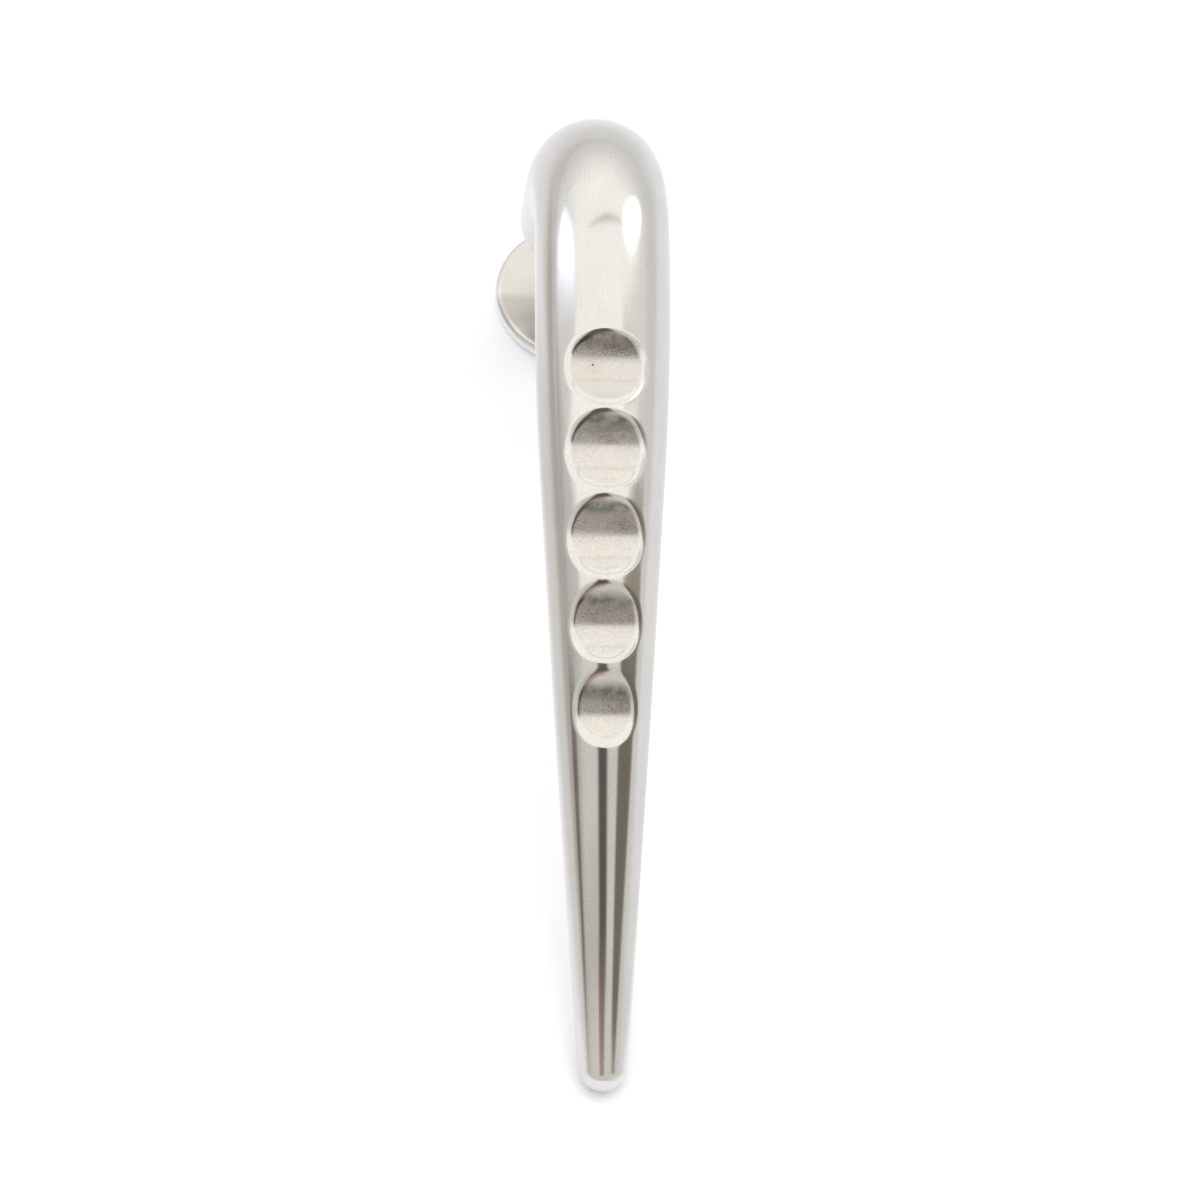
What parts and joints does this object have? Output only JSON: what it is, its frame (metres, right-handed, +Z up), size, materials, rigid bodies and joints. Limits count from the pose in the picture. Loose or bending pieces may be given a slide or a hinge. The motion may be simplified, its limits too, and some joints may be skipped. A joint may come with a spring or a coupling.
{
  "type": "labret ring",
  "caption": "Heavy polished steel labret: a tapering curved claw with scooped notches, hooked back to a post and flat back disc worn through the lower lip.",
  "frame": {"origin": "on the surface that the labret lies on, under the middle of its outline", "axes": "+Z up from the surface along the post, +Y from the claw's tip towards the hook, +X to the right of the notched front"},
  "size_m": [0.0094, 0.0592, 0.0239],
  "materials": {
    "claw_steel": "mirror-polished surgical steel with fine scratches",
    "disc_steel": "polished surgical steel, faintly worn"
  },
  "bodies": {
    "root": {"claw": "claw_steel", "back_disc": "disc_steel"}
  },
  "joints": []
}
